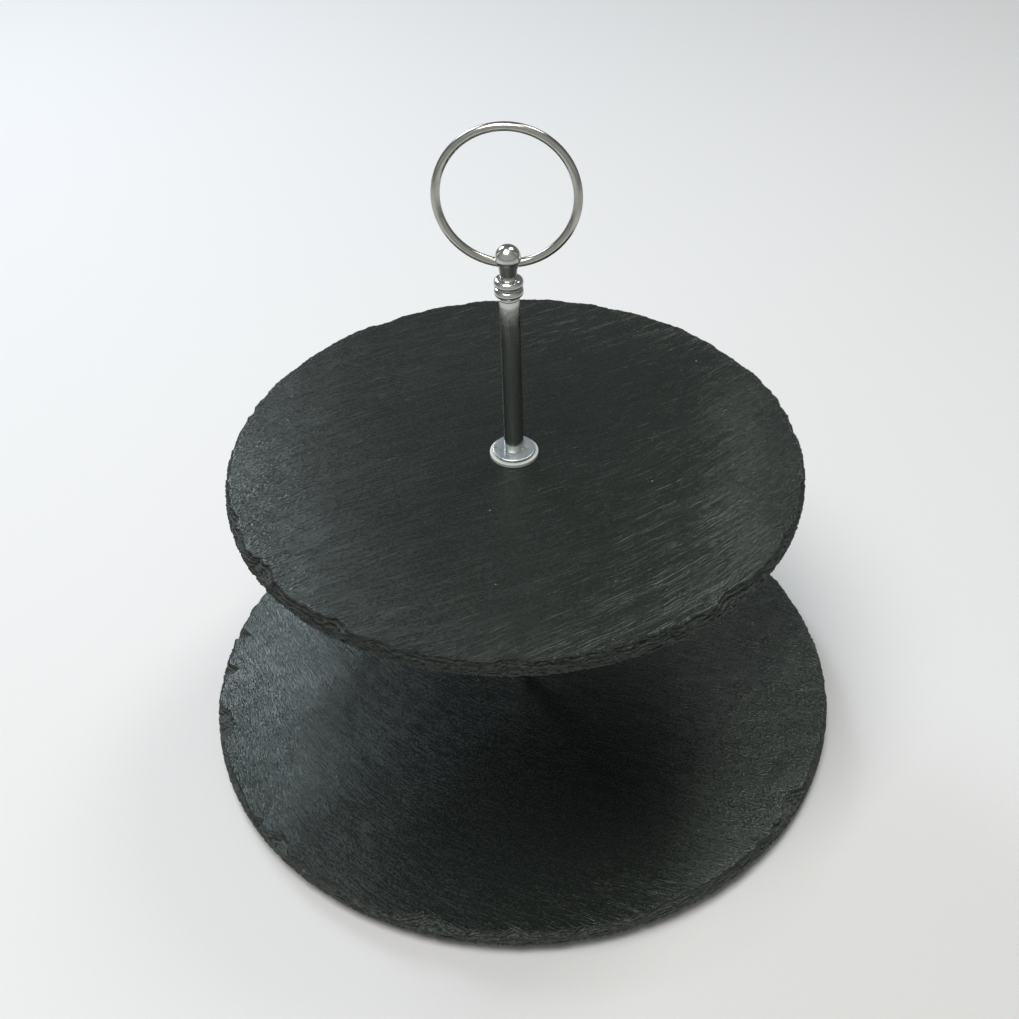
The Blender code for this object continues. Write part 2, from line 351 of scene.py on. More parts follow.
def metal_finish(name, colour, stain, rough, streak, edge=1.0):
    """Plated metal with polishing marks, tarnished film and fine pitting.

    A streak below 1 draws the marks out along the stand's axis. An edge below 1 dims the metal
    where it is seen at a glance.
    """
    f = Finish(name)
    film = f.noise(f.place, 160, 3.0, 0.6)
    lines = f.noise(f.stretch(f.place, (1.0, 1.0, streak)), 1500, 3.0, 0.6)
    pits = f.noise(f.place, 4200, 2.0, 0.5)
    tint = f.blend(f.remap(film, 0.4, 0.75, 0.0, 0.6), colour, stain)
    tint = f.blend(f.remap(pits, 0.66, 0.72, 0.0, 0.35), tint, stain)
    gloss = f.remap(f.math("MULTIPLY_ADD", lines, 0.5, film), 0.5, 1.0, *rough)
    relief = f.bump(lines, 0.012 * MM)
    relief = f.bump(film, 0.05 * MM, relief)
    f.set(Base_Color=tint, Roughness=gloss, Metallic=1.0, Normal=relief)
    f.set(Specular_Tint=(edge, edge, edge, 1.0))
    return f.material


def nylon_finish():
    """Milky nylon, faintly mottled by moulding, with soft light inside it."""
    f = Finish("nylon")
    cloud = f.noise(f.place, 300, 3.0, 0.5)
    grain = f.noise(f.place, 2200, 2.0, 0.5)
    colour = f.blend(cloud, (0.36, 0.38, 0.37), (0.44, 0.46, 0.43))
    rough = f.remap(grain, 0.3, 0.7, 0.42, 0.6)
    f.set(Base_Color=colour, Roughness=rough, Normal=f.bump(grain, 0.02 * MM))
    f.set(Subsurface_Weight=0.35, Subsurface_Scale=0.8 * MM, IOR=1.53)
    return f.material


def rubber_finish():
    """Moulded black rubber, dusty in its pores."""
    f = Finish("rubber")
    pores = f.noise(f.place, 2600, 3.0, 0.6)
    dust = f.noise(f.place, 180, 3.0, 0.6)
    colour = f.blend(f.remap(dust, 0.45, 0.75), (0.014, 0.014, 0.015), (0.042, 0.041, 0.039))
    rough = f.remap(pores, 0.3, 0.7, 0.58, 0.78)
    f.set(Base_Color=colour, Roughness=rough, Normal=f.bump(pores, 0.05 * MM))
    return f.material


# ---------------------------------------------------------------- turned pieces


def fillet(corners, steps=6):
    """Rounds the corners (distance, height, radius) of a profile; a radius of 0 stays sharp."""
    points = []
    count = len(corners)
    for i, (r, z, radius) in enumerate(corners):
        here = Vector((r, z))
        if radius == 0:
            points.append((r, z))
            continue
        back = (Vector(corners[i - 1][:2]) - here).normalized()
        ahead = (Vector(corners[(i + 1) % count][:2]) - here).normalized()
        half = back.angle(ahead) / 2
        centre = here + (back + ahead).normalized() * radius / math.sin(half)
        reach = radius / math.tan(half)
        start = here + back * reach - centre
        end = here + ahead * reach - centre
        sweep = start.angle_signed(end)
        for k in range(steps + 1):
            spoke = Matrix.Rotation(-sweep * k / steps, 2) @ start
            points.append(tuple(centre + spoke))
    return points


def arc(centre_r, centre_z, radius, start, end, count):
    """Points of a round stretch of a profile, between two angles in degrees."""
    angles = [math.radians(start + (end - start) * i / (count - 1)) for i in range(count)]
    return [(centre_r + radius * math.cos(a), centre_z + radius * math.sin(a)) for a in angles]


def turned(profile, steps=TURNED_STEPS, centre=(0.0, 0.0), closed=True):
    """Vertices and faces of a profile turned about a vertical axis, given outer side down.

    An open profile starts and ends on the axis, and its two ends are single points.
    """
    ring_rows = profile if closed else profile[1:-1]
    verts = []
    for r, z in ring_rows:
        for k in range(steps):
            angle = TURN * k / steps
            verts.append((centre[0] + r * math.cos(angle), centre[1] + r * math.sin(angle), z))
    faces = []
    rows = len(ring_rows)
    for i in range(rows if closed else rows - 1):
        below = (i + 1) % rows
        for k in range(steps):
            after = (k + 1) % steps
            faces.append((i * steps + k, below * steps + k, below * steps + after, i * steps + after))
    if not closed:
        top = len(verts)
        verts.append((centre[0], centre[1], profile[0][1]))
        verts.append((centre[0], centre[1], profile[-1][1]))
        last = (rows - 1) * steps
        for k in range(steps):
            after = (k + 1) % steps
            faces.append((top, k, after))
            faces.append((top + 1, last + after, last + k))
    return verts, faces


def make_piece(name, shape, material, body, nodes, sharp=32):
    """Links a mesh as a piece that rides on a body and stands for CAD nodes."""
    mesh = bpy.data.meshes.new(name)
    mesh.from_pydata(shape[0], [], shape[1])
    mesh.materials.append(material)
    piece = bpy.data.objects.new(name, mesh)
    bpy.context.scene.collection.objects.link(piece)
    dress(piece, sharp)
    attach(piece, body)
    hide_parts(*nodes)
    return piece


def dress(piece, sharp):
    """Smooth shading that breaks at edges sharper than an angle in degrees."""
    piece.data.shade_smooth()
    piece.data.set_sharp_from_angle(angle=math.radians(sharp))


def nylon_washer(node, body, material, faces_up):
    """A flat nylon washer, closing the clearance to the faces that it rests on."""
    low, high = heights(node)
    low -= CONTACT
    high += CONTACT
    r = half_width(node)
    bore = WASHER_HOLE_RADIUS
    soft = 0.12 * MM
    rims = (0.22 * MM, soft) if faces_up else (soft, 0.22 * MM)
    corners = [(bore, high, soft), (r, high, rims[0]), (r, low, rims[1]), (bore, low, soft)]
    make_piece(node + "_rolled", turned(fillet(corners)), material, body, [node])


def steel_washer(node, body, material, faces_up):
    """A stamped washer with a rolled rim that overhangs its narrower foot."""
    low, high = heights(node)
    r = half_width(node)
    bore = WASHER_HOLE_RADIUS
    foot = r - 1.6 * MM
    lip = low + 0.8 * MM
    soft = 0.1 * MM
    corners = [(bore, high, soft), (r, high, 0.3 * MM), (r, lip, 0.15 * MM)]
    corners += [(foot, lip, soft), (foot, low, soft), (bore, low, soft)]
    if not faces_up:
        corners = [(distance, high + low - z, radius) for distance, z, radius in reversed(corners)]
    make_piece(node + "_rolled", turned(fillet(corners)), material, body, [node])


def tube_piece(node, body, material, grow):
    """A drawn tube with broken edges, its outside in short rows so that it shades evenly."""
    low, high = heights(node)
    low -= grow[0]
    high += grow[1]
    r = half_width(node)
    edge = 0.22 * MM
    soft = 0.12 * MM
    corners = [(TUBE_BORE_RADIUS, high, soft), (r, high, edge)]
    for i in range(1, TUBE_ROWS):
        corners.append((r, high + (low - high) * i / TUBE_ROWS, 0))
    corners += [(r, low, edge), (TUBE_BORE_RADIUS, low, soft)]
    make_piece(node + "_drawn", turned(fillet(corners)), material, body, [node])


def insert_piece(node, body, material):
    """A tapped bush: chamfered mouths, and the thread as fine grooves round its bore."""
    low, high = heights(node)
    r = half_width(node)
    bore = INSERT_BORE_RADIUS
    mouth = 0.35 * MM
    profile = [(bore + mouth, high), (r - 0.2 * MM, high), (r, high - 0.2 * MM)]
    profile += [(r, low + 0.2 * MM), (r - 0.2 * MM, low), (bore + mouth, low)]
    groove = 0.18 * MM
    turns = int((high - low - 2 * mouth) / THREAD_PITCH)
    start = low + (high - low - turns * THREAD_PITCH) / 2
    for i in range(turns):
        z = start + i * THREAD_PITCH
        profile += [(bore, z), (bore + groove, z + THREAD_PITCH / 2)]
    profile.append((bore, start + turns * THREAD_PITCH))
    make_piece(node + "_tapped", turned(profile, 64), material, body, [node])


def thread_rows(low, high, major, both_ends_blunt):
    """Rings of a right-hand thread from the top down, chamfered at the top or at both ends."""
    count = int((high - low) / (THREAD_PITCH / 8))
    angles = np.arange(THREAD_STEPS) * TURN / THREAD_STEPS
    rows = []
    for i in range(count + 1):
        z = high + (low - high) * i / count
        phase = (z / THREAD_PITCH - angles / TURN) % 1.0
        crest = np.clip(np.abs(phase - 0.5) * 2.6 - 0.3, 0.0, 1.0)
        r = major - THREAD_DEPTH * (1.0 - crest)
        to_end = min(z - low, high - z) if both_ends_blunt else high - z
        r = np.minimum(r, major - 0.45 * MM + max(to_end, 0.0))
        rows.append([(v * math.cos(a), v * math.sin(a), z) for v, a in zip(r, angles)])
    return rows


def skinned(rows, top_z, low_z):
    """Faces between equal rings from top to bottom, each end closed by a fan."""
    steps = len(rows[0])
    verts = [p for row in rows for p in row]
    faces = []
    for i in range(len(rows) - 1):
        for k in range(steps):
            after = (k + 1) % steps
            below = (i + 1) * steps
            faces.append((i * steps + k, below + k, below + after, i * steps + after))
    top = len(verts)
    verts += [(0.0, 0.0, top_z), (0.0, 0.0, low_z)]
    last = (len(rows) - 1) * steps
    for k in range(steps):
        after = (k + 1) % steps
        faces.append((top, k, after))
        faces.append((top + 1, last + after, last + k))
    return verts, faces


def stud_piece(node, body, material):
    """A threaded stud, chamfered at both ends."""
    low, high = heights(node)
    rows = thread_rows(low, high, half_width(node), True)
    make_piece(node + "_threaded", skinned(rows, high, low), material, body, [node])


def base_screw_piece(material):
    """Truss-head screw: threaded shank over a domed head with a cross recess."""
    low, high = heights("base_screw")
    head_radius = half_width("base_screw")
    shank_low = low + SCREW_HEAD_HEIGHT
    rows = thread_rows(shank_low + 0.6 * MM, high, SCREW_THREAD_RADIUS, False)
    angles = np.arange(THREAD_STEPS) * TURN / THREAD_STEPS
    plain = [(SCREW_CORE_RADIUS, shank_low + 0.5 * MM), (SCREW_CORE_RADIUS, shank_low + 0.1 * MM)]
    plain += [(SCREW_CORE_RADIUS + 0.11 * MM, shank_low)]
    plain += [(head_radius - 0.1 * MM, shank_low), (head_radius, shank_low - 0.12 * MM)]
    plain += [(head_radius, shank_low - 0.3 * MM)]
    dome_rows = 15
    for i in range(1, dome_rows):
        lean = math.radians(90 * i / dome_rows)
        plain.append((head_radius * math.cos(lean), low + SCREW_DOME_HEIGHT * (1 - math.sin(lean))))
    for r, z in plain:
        rows.append([(r * math.cos(a), r * math.sin(a), z) for a in angles])
    name = "base_screw_threaded"
    shape = skinned(rows, high, low)
    screw = make_piece(name, shape, material, "lower_tier", ["base_screw"])
    for k in range(2):
        cut(screw, recess_blade(low, k * TURN / 4))
    dress(screw, 32)


def recess_blade(low, angle):
    """One tapered blade of the cross recess, in rows of length, width and height in millimetres."""
    rows = ((4.4, 1.0, -0.4), (4.2, 0.9, 0.1), (1.8, 0.5, 1.35))
    verts = []
    for length, width, rise in rows:
        for sx, sy in ((1, 1), (-1, 1), (-1, -1), (1, -1)):
            spot = Vector((sx * length / 2, sy * width / 2, 0)) * MM
            spot.rotate(Euler((0, 0, angle)))
            verts.append((spot.x, spot.y, low + rise * MM))
    faces = [(3, 2, 1, 0), (8, 9, 10, 11)]
    for level in (0, 4):
        for k in range(4):
            after = (k + 1) % 4
            faces.append((level + k, level + after, level + 4 + after, level + 4 + k))
    return verts, faces


def cut(piece, shape):
    """Takes a closed shape out of a piece and keeps the result, without slivers, as its mesh."""
    mesh = bpy.data.meshes.new("cutter")
    mesh.from_pydata(shape[0], [], shape[1])
    cutter = bpy.data.objects.new("cutter", mesh)
    bpy.context.scene.collection.objects.link(cutter)
    boolean = piece.modifiers.new("cut", "BOOLEAN")
    boolean.operation = "DIFFERENCE"
    boolean.object = cutter
    bpy.context.view_layer.update()
    evaluated = piece.evaluated_get(bpy.context.evaluated_depsgraph_get())
    result = bpy.data.meshes.new_from_object(evaluated)
    clean = bmesh.new()
    clean.from_mesh(result)
    bmesh.ops.triangulate(clean, faces=clean.faces)
    bmesh.ops.dissolve_degenerate(clean, dist=0.001 * MM, edges=clean.edges)
    clean.to_mesh(result)
    clean.free()
    piece.modifiers.clear()
    piece.data = result
    bpy.data.objects.remove(cutter)


def bore_half_length():
    """Half the length of the finial's cross bore, which misses the ball's middle."""
    return math.sqrt(BALL_RADIUS**2 - (BALL_Z - PIVOT_Z) ** 2)


def finial_piece(material):
    """Ball, tapered neck and two beads, drilled through with countersunk mouths."""
    low, high = heights("finial")
    profile = [(0.0, high)]
    profile += arc(0.0, low + BALL_Z, BALL_RADIUS, 87, BALL_LIP_ANGLE + 2, 26)
    lip_r, lip_z = profile[-1]
    profile += [(lip_r - 0.06 * MM, lip_z - 0.14 * MM), (lip_r - 0.2 * MM, lip_z - 0.2 * MM)]
    neck_z = lip_z - 0.22 * MM
    foot_z = low + NECK_FOOT_Z
    neck_rows = 12
    for i in range(neck_rows):
        share = i / (neck_rows - 1)
        flare = NECK_FOOT_RADIUS + (NECK_TOP_RADIUS - NECK_FOOT_RADIUS) * (1 - share)
        profile.append((flare, neck_z + (foot_z - neck_z) * share))
    profile.append((NECK_FOOT_RADIUS + 0.08 * MM, foot_z - 0.35 * MM))
    profile += arc(BEAD_REACH, low + UPPER_BEAD_Z, BEAD_RADIUS, 86, -74, 20)
    profile += arc(BEAD_REACH, low + LOWER_BEAD_Z, BEAD_RADIUS, 74, -82, 20)
    profile += [(COLLAR_RADIUS, low + 1.0 * MM), (COLLAR_RADIUS, low + 0.08 * MM)]
    profile += [(COLLAR_RADIUS - 0.08 * MM, low), (INSERT_BORE_RADIUS, low)]
    profile += [(INSERT_BORE_RADIUS, low + FINIAL_BORE_DEPTH), (0.0, low + FINIAL_BORE_DEPTH)]
    shape = turned(profile, 96, closed=False)
    ball = make_piece("finial_turned", shape, material, "handle_column", ["finial"])
    half = bore_half_length()
    mouth = PIVOT_HOLE_RADIUS + 0.35 * MM
    bore = [(0.0, CUTTER_REACH), (mouth + 2 * MM, CUTTER_REACH)]
    bore += [(mouth, half), (PIVOT_HOLE_RADIUS, half - 0.5 * MM)]
    bore += [(r, -z) for r, z in reversed(bore)]
    verts, faces = turned(bore, 64, closed=False)
    verts = [(z, y, low + PIVOT_Z - x) for x, y, z in verts]
    cut(ball, (verts, faces))
    dress(ball, 40)


def ring_piece(material):
    """A wire ring bent round a former, its butt ends meeting inside the finial's hole."""
    pivot_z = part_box("finial")[0].z + PIVOT_Z
    bow = RING_RADIUS - math.sqrt(RING_RADIUS**2 - bore_half_length() ** 2)
    centre_z = RING_RADIUS - bow / 2
    first = 0.5 * RING_JOINT_GAP / RING_RADIUS
    sweep = TURN - 2 * first
    lean = Euler((-RING_LEAN, 0, 0)).to_matrix()
    chamfered = WIRE_RADIUS * 0.82
    sections = [(WIRE_RADIUS, first + sweep * i / RING_STEPS) for i in range(RING_STEPS + 1)]
    sections = [(chamfered, first), *sections, (chamfered, TURN - first)]
    verts = []
    for thick, angle in sections:
        for k in range(WIRE_SIDES):
            side = TURN * k / WIRE_SIDES
            out = RING_RADIUS + thick * math.cos(side)
            spot = (out * math.sin(angle), thick * math.sin(side), centre_z - out * math.cos(angle))
            spot = lean @ Vector(spot)
            verts.append((spot.x, spot.y, spot.z + pivot_z))
    faces = []
    for i in range(len(sections) - 1):
        here, ahead = i * WIRE_SIDES, (i + 1) * WIRE_SIDES
        for k in range(WIRE_SIDES):
            after = (k + 1) % WIRE_SIDES
            faces.append((here + k, here + after, ahead + after, ahead + k))
    last = (len(sections) - 1) * WIRE_SIDES
    faces.append(tuple(range(WIRE_SIDES))[::-1])
    faces.append(tuple(range(last, last + WIRE_SIDES)))
    make_piece("ring_handle_wire", (verts, faces), material, "ring", ["ring_handle"], 50)


def foot_piece(node, material):
    """A tapered rubber bumper with a soft sole and a thin adhesive disc against the slate."""
    low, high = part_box(node)
    centre = ((low.x + high.x) / 2, (low.y + high.y) / 2)
    r = (high.x - low.x) / 2
    top = high.z + CONTACT
    profile = [(0.0, top), (r - 0.5 * MM, top), (r - 0.5 * MM, top - 0.3 * MM)]
    profile += [(r - 0.15 * MM, top - 0.32 * MM), (r, top - 0.5 * MM), (r, top - 0.8 * MM)]
    sole = r - 2.2 * MM
    profile += arc(sole, low.z + 1.4 * MM, 1.4 * MM, 2, -90, 14)
    profile += [(0.6 * sole, low.z), (0.5 * sole, low.z + 0.25 * MM), (0.0, low.z + 0.3 * MM)]
    shape = turned(profile, 64, centre, closed=False)
    make_piece(node + "_moulded", shape, material, "lower_tier", [node])


# ---------------------------------------------------------------- slates


def waves(rng, along, across, count, shortest, longest, spread):
    """Random relief of unit size, its crests along the first coordinate."""
    total = np.zeros_like(along)
    for _ in range(count):
        length = shortest * (longest / shortest) ** rng.random()
        heading = rng.normal(0.0, spread)
        phase = rng.random() * TURN
        climb = across * math.cos(heading) + along * math.sin(heading)
        total += np.cos(TURN * climb / length + phase)
    return total * math.sqrt(2.0 / count)


def rim_noise(rng, angles, lowest, highest, count):
    """Random function of the angle round the rim, of unit size."""
    total = np.zeros_like(angles)
    for _ in range(count):
        turns = int(rng.integers(lowest, highest))
        total += np.cos(turns * angles + rng.random() * TURN)
    return total * math.sqrt(2.0 / count)


def smooth(edge, width, value):
    """Soft step from 0 to 1 over a width round an edge."""
    t = np.clip((value - edge) / width + 0.5, 0.0, 1.0)
    return t * t * (3 - 2 * t)


def grain_across(x, y, grain):
    """Distance across the grain, whose direction swings from one side to the other."""
    slope, bow, twist = grain
    return y - x * (slope + x * (bow / 2 + x * twist / 3))


def chipped_edge(rng, angles, radius, length, reach):
    """Inset of a broken edge: a run of shallow chips that meet in points."""
    inset = np.zeros_like(angles)
    place = 0.0
    while place < TURN:
        width = length * float(np.clip(rng.lognormal(0.0, 0.5), 0.35, 2.5))
        share = np.clip(((angles - place) % TURN) * radius / width, 0.0, 1.0)
        hollow = 1.0 - np.abs(2 * share - 1) ** 2.4
        inset = np.maximum(inset, reach * rng.uniform(0.1, 1.0) * hollow)
        place += width / radius
    return inset


def knapping(rng, angles, radius, thickness, big_bites):
    """Depth of the knapped edge below the top face, by angle and by distance in from the rim."""
    inset = np.arange(0.0, RIM_WIDTH, RIM_SAMPLE)
    shape = (RIM_STEPS, len(inset))
    around = np.broadcast_to(angles[:, None], shape)
    inward = np.broadcast_to(inset[None, :], shape)
    coarse = rim_noise(rng, angles, 8, 48, 24)[:, None]
    ragged = rim_noise(rng, angles, 50, 300, 40)[:, None]

    bevel = np.maximum(BEVEL_WIDTH * (1.0 + 0.35 * coarse + 0.12 * ragged), 0.45 * MM)
    depth = BEVEL_DEPTH * np.clip(1.0 - inward / bevel, 0.0, 1.0) ** 1.2

    bites = [(math.radians(a), w * MM, d * MM, h * MM) for a, w, d, h in big_bites]
    place = 0.0
    while place < TURN:
        half = MM * float(np.clip(rng.lognormal(1.35, 0.45), 1.8, 9.0))
        limit = (2.4 - 1.4 * smooth(0.3, 0.4, math.sin(place))) * MM
        reach = min(half * rng.uniform(0.2, 0.45), limit)
        floor = rng.uniform(0.3, 0.8) * thickness
        bites.append((place, half, reach, floor))
        place += half * rng.uniform(0.8, 2.0) / radius
    for middle, half, reach, floor in bites:
        offset = (around - middle + math.pi) % TURN - math.pi
        share = offset * radius / half + 0.12 * coarse
        hollow = np.clip(1.0 - np.abs(share) ** 1.7, 0.0, 1.0)
        lip = reach * hollow * (1.0 + 0.06 * ragged)
        slope = floor / max(reach, 0.5 * MM)
        depth = np.maximum(depth, slope * np.clip(lip - inward, 0.0, None) ** 0.8 * (0.5 * MM) ** 0.2)
    return np.clip(depth, 0.0, thickness - 0.9 * MM)


def lamina_levels(rng, angles, thickness):
    """Depth of each parting between laminae below the top face, by angle."""
    share = np.cumsum(rng.uniform(0.55, 1.3, LAMINAE))
    levels = [np.full(RIM_STEPS, 0.05 * MM)]
    for part in share / share[-1] * (thickness - 0.25 * MM):
        drift = 0.16 * MM * rim_noise(rng, angles, 3, 30, 16)
        drift = drift + 0.05 * MM * rim_noise(rng, angles, 30, 220, 30)
        levels.append(np.maximum(part + drift, levels[-1] + 0.12 * MM))
    levels[-1] = np.full(RIM_STEPS, thickness - RIM_FLOOR)
    return levels


def lamina_edges(rng, angles, radius, depth, levels):
    """How far in from the full radius each lamina ends, by angle.

    The top two are nicked mostly in front, towards -Y.
    """
    worn = 0.35 + 0.65 * smooth(0.1, 0.5, -np.sin(angles))
    edges = []
    for j in range(LAMINAE):
        edge = RIM_SAMPLE * np.sum(depth >= levels[j][:, None], axis=1)
        reach = 0.75 * MM if j else 0.5 * MM
        nicks = chipped_edge(rng, angles, radius, rng.uniform(2.2, 4.5) * MM, reach)
        nicks += chipped_edge(rng, angles, radius, 1.4 * MM, 0.3 * MM)
        edge = edge + nicks * (worn if j < 2 else 1.0)
        if j % 2:
            edge = edge + 0.5 * MM * np.clip(rim_noise(rng, angles, 10, 90, 24), 0.0, 1.4)
        if edges:
            edge = np.minimum(edge, edges[-1] + 0.45 * MM)
        edges.append(np.maximum(edge, 0.04 * MM))
    return edges


def rim_rows(rng, radius, thickness, big_bites):
    """Rings of (radius, depth below the top, freshness) round the edge, split into laminae."""
    angles = np.arange(RIM_STEPS) * TURN / RIM_STEPS
    depth = knapping(rng, angles, radius, thickness, big_bites)
    levels = lamina_levels(rng, angles, thickness)
    edges = lamina_edges(rng, angles, radius, depth, levels)
    rows = []
    for i in range(FIELD_RINGS):
        share = (i + 0.5) / FIELD_RINGS
        rows.append((radius - RIM_WIDTH + (RIM_WIDTH - edges[0]) * share, np.zeros(RIM_STEPS), 0.0))
    for j in range(LAMINAE):
        top, low = levels[j], np.minimum(levels[j + 1], thickness - RIM_FLOOR)
        lean = 0.10 * (low - top)
        rough = 0.07 * MM * rim_noise(rng, angles, 120, 600, 50)
        face = radius - edges[j]
        foot = face + lean
        rows.append((face, top + LEDGE_STEP, 0.45 if j == 0 else 1.0))
        rows.append((face + lean / 2 + rough - 0.05 * MM, (top + low) / 2, 1.0))
        rows.append((foot, low, 1.0))
        if j < LAMINAE - 1:
            ledge = radius - edges[j + 1] - foot
            sag = 0.05 * MM * rim_noise(rng, angles, 120, 600, 50)
            sag = sag * np.clip(np.abs(ledge) / (0.1 * MM), 0.0, 1.0)
            rows.append((foot + ledge / 2, low + sag, 1.0))
    rows.append((radius - edges[-1] - 0.3 * MM, np.full(RIM_STEPS, thickness), 1.0))
    limit = radius - 0.01 * MM
    return [(np.minimum(r, limit), np.minimum(d, thickness), fresh) for r, d, fresh in rows]


def bridge(a_start, a_count, b_start, b_count):
    """Faces from ring a to ring b, where one may have a whole number of times more points."""
    faces = []
    if a_count == b_count:
        for k in range(a_count):
            after = (k + 1) % a_count
            faces.append((a_start + k, b_start + k, b_start + after, a_start + after))
        return faces
    coarse_first = a_count < b_count
    coarse, few = (a_start, a_count) if coarse_first else (b_start, b_count)
    fine, many = (b_start, b_count) if coarse_first else (a_start, a_count)
    times = many // few
    for k in range(few):
        this = coarse + k
        after = coarse + (k + 1) % few
        middle = times // 2
        fan = []
        for i in range(times):
            hub = this if i < middle + times % 2 else after
            fan.append((hub, fine + k * times + i, fine + (k * times + i + 1) % many))
        fan.append((this, fine + (k * times + middle + times % 2) % many, after))
        for face in fan:
            faces.append(face if coarse_first else face[::-1])
    return faces


def ring_of_points(count, r, z, chip):
    """One ring as arrays of x, y, height and freshness; r, z and chip may vary round it."""
    angles = np.arange(count) * TURN / count
    r, z, chip = (np.broadcast_to(value, angles.shape) for value in (r, z, chip))
    return r * np.cos(angles), r * np.sin(angles), z, chip


def slate_rings(rng, stone):
    """Rings of points from the drilled hole across the top, down the edge and back underneath."""
    low, high = heights(stone.node)
    radius = half_width(stone.node)
    hole = SLATE_HOLE_RADIUS
    bore = [(hole + 0.1 * MM, low + 0.02 * MM), (hole, low + 0.4 * MM), (hole, low + 2.4 * MM)]
    bore += [(hole, high - 2.4 * MM), (hole, high - 0.3 * MM)]
    bore += [(hole + 0.15 * MM, high - 0.05 * MM)]
    rings = [ring_of_points(CORE_STEPS, r, z, 0.8) for r, z in bore]
    r = hole + 0.7 * MM
    while r < radius - RIM_WIDTH - 0.6 * RING_SPACING:
        rings.append(ring_of_points(CORE_STEPS if r < CORE_RADIUS else FIELD_STEPS, r, high, 0.0))
        r += RING_SPACING
    for r, depth, fresh in rim_rows(rng, radius, high - low, stone.bites):
        rings.append(ring_of_points(RIM_STEPS, r, high - depth, fresh))
    for i, r in enumerate(np.linspace(radius - 2.4 * MM, 12 * MM, UNDER_RINGS)):
        rings.append(ring_of_points(FIELD_STEPS if i < 4 else CORE_STEPS, r, low, 0.3))
    rings.append(ring_of_points(CORE_STEPS, hole + 0.6 * MM, low, 0.3))
    return rings


def riven(rng, stone, x, y, z):
    """The heights z with the relief of both faces, which leaves the washers' land flat."""
    low, high = heights(stone.node)
    across = grain_across(x, y, stone.grain)
    distance = np.hypot(x, y)
    off_land = smooth(WASHER_LAND, 12 * MM, distance)
    relief = stone.ripple_height * waves(rng, x * 0.9, across, 46, 4.5 * MM, 9 * MM, 0.16)
    relief += 0.8 * stone.ripple_height * waves(rng, x, across, 30, 10 * MM, 20 * MM, 0.25)
    relief += 0.10 * MM * waves(rng, x, y, 14, 40 * MM, 110 * MM, 1.5)
    terraces = waves(rng, x, across, 18, 16 * MM, 50 * MM, 0.35)
    relief += 0.07 * MM * (smooth(0.7, 0.12, terraces) - smooth(-0.9, 0.12, terraces))
    fade = np.where(z > high - 0.9 * MM, np.exp(-(high - z) / (0.35 * MM)), 0.0)
    z = z + np.clip(relief, -0.26 * MM, 0.2 * MM) * off_land * fade

    off_edge = smooth(4 * MM - half_width(stone.node), 5 * MM, -distance)
    hollows = 0.06 * MM * (1.0 + waves(rng, x, across, 20, 9 * MM, 40 * MM, 0.3))
    hollows = np.clip(hollows, 0.0, 0.2 * MM) * off_land * off_edge
    return z + np.where(z < low + 0.05 * MM, hollows, 0.0)


def slate_piece(stone, material):
    """A riven slate disc: rippled faces, knapped edge and a drilled hole, as one closed mesh."""
    rng = np.random.default_rng(stone.seed)
    rings = slate_rings(rng, stone)
    counts = [len(ring[0]) for ring in rings]
    starts = np.concatenate([[0], np.cumsum(counts)[:-1]])
    x, y, z, chip = (np.concatenate([ring[i] for ring in rings]) for i in range(4))
    z = riven(rng, stone, x, y, z)
    faces = []
    for i in range(len(rings)):
        j = (i + 1) % len(rings)
        faces += bridge(int(starts[i]), counts[i], int(starts[j]), counts[j])
    shape = (np.stack([x, y, z], axis=1).tolist(), faces)
    name = stone.node + "_riven"
    piece = make_piece(name, shape, material, stone.body, [stone.node], 36)
    shade = piece.data.attributes.new("chip", "FLOAT", "POINT")
    shade.data.foreach_set("value", chip.astype(np.float32))


# ---------------------------------------------------------------- studio


def spherical(turn, rise):
    """Unit vector at a turn and a rise in radians; a turn of 0 is straight behind the stand."""
    return Vector((math.sin(turn) * math.cos(rise), math.cos(turn) * math.cos(rise), math.sin(rise)))


def area_light(name, azimuth, elevation, distance, size, energy, colour):
    """A soft box that faces the middle of the stand; an azimuth of 0 is straight behind it."""
    data = bpy.data.lights.new(name, "AREA")
    data.shape = "RECTANGLE"
    data.size, data.size_y = size
    data.energy = energy
    data.color = colour
    lamp = bpy.data.objects.new(name, data)
    heading = spherical(math.radians(azimuth), math.radians(elevation))
    lamp.location = Vector((0, 0, (cad_low.z + cad_high.z) / 2)) + heading * distance
    lamp.rotation_euler = (-heading).to_track_quat("-Z", "Y").to_euler()
    lamp.visible_camera = False
    bpy.context.scene.collection.objects.link(lamp)


def paper_floor():
    """A wide sheet of pale paper just under the feet."""
    f = Finish("floor")
    paper = f.noise(f.place, 900, 3.0, 0.6)
    f.set(Base_Color=f.blend(paper, (0.55, 0.55, 0.55), (0.59, 0.59, 0.59)))
    f.set(Roughness=0.75, Normal=f.bump(paper, 0.05 * MM))
    z = cad_low.z - 0.05 * MM
    corners = [(x * FLOOR_HALF, y * FLOOR_HALF, z) for x, y in ((-1, -1), (1, -1), (1, 1), (-1, 1))]
    mesh = bpy.data.meshes.new("floor")
    mesh.from_pydata(corners, [], [(0, 1, 2, 3)])
    mesh.materials.append(f.material)
    floor = bpy.data.objects.new("floor", mesh)
    bpy.context.scene.collection.objects.link(floor)


